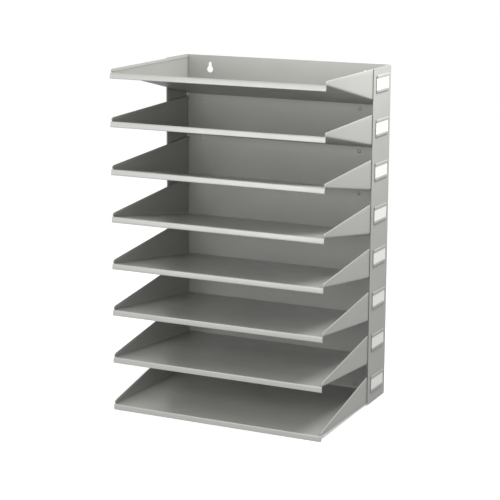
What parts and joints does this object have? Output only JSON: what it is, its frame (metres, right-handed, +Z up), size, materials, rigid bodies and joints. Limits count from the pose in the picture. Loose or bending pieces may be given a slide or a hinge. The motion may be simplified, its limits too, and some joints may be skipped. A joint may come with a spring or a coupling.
{
  "type": "file sorter",
  "caption": "Sheet-steel file sorter with fanned open-front letter trays in a folded housing, side holders with sliding label cards, and keyholes for hanging on a wall.",
  "frame": {"origin": "under the middle of the sorter, level with the lower edge of the lowest tray's front lip", "axes": "+X to the right seen from the front, +Y to the back, +Z up; the trays open towards -Y"},
  "size_m": [0.3359, 0.233, 0.4995],
  "materials": {
    "housing_paint": "satin powder coat, warm light grey",
    "tray_paint": "satin powder coat, warm light grey",
    "holder_paint": "satin powder coat, warm light grey",
    "rivet_paint": "satin paint, warm light grey",
    "card_paper": "matt white card"
  },
  "bodies": {
    "sorter": {"housing": "housing_paint", "tray_1": "tray_paint", "tray_2": "tray_paint", "tray_3": "tray_paint", "tray_4": "tray_paint", "tray_5": "tray_paint", "tray_6": "tray_paint", "tray_7": "tray_paint", "tray_8": "tray_paint", "tray_rivets": "rivet_paint", "label_holder_1": "holder_paint", "label_holder_2": "holder_paint", "label_holder_3": "holder_paint", "label_holder_4": "holder_paint", "label_holder_5": "holder_paint", "label_holder_6": "holder_paint", "label_holder_7": "holder_paint", "label_holder_8": "holder_paint"},
    "card_1": {"label_card_1": "card_paper"},
    "card_2": {"label_card_2": "card_paper"},
    "card_3": {"label_card_3": "card_paper"},
    "card_4": {"label_card_4": "card_paper"},
    "card_5": {"label_card_5": "card_paper"},
    "card_6": {"label_card_6": "card_paper"},
    "card_7": {"label_card_7": "card_paper"},
    "card_8": {"label_card_8": "card_paper"}
  },
  "joints": [
    {"name": "card_1_slide", "type": "slide", "parent": "sorter", "child": "card_1", "axis": [0, -1, 0], "range_m": [0, 0.05]},
    {"name": "card_2_slide", "type": "slide", "parent": "sorter", "child": "card_2", "axis": [0, -1, 0], "range_m": [0, 0.05]},
    {"name": "card_3_slide", "type": "slide", "parent": "sorter", "child": "card_3", "axis": [0, -1, 0], "range_m": [0, 0.05]},
    {"name": "card_4_slide", "type": "slide", "parent": "sorter", "child": "card_4", "axis": [0, -1, 0], "range_m": [0, 0.05]},
    {"name": "card_5_slide", "type": "slide", "parent": "sorter", "child": "card_5", "axis": [0, -1, 0], "range_m": [0, 0.05]},
    {"name": "card_6_slide", "type": "slide", "parent": "sorter", "child": "card_6", "axis": [0, -1, 0], "range_m": [0, 0.05]},
    {"name": "card_7_slide", "type": "slide", "parent": "sorter", "child": "card_7", "axis": [0, -1, 0], "range_m": [0, 0.05]},
    {"name": "card_8_slide", "type": "slide", "parent": "sorter", "child": "card_8", "axis": [0, -1, 0], "range_m": [0, 0.05]}
  ]
}
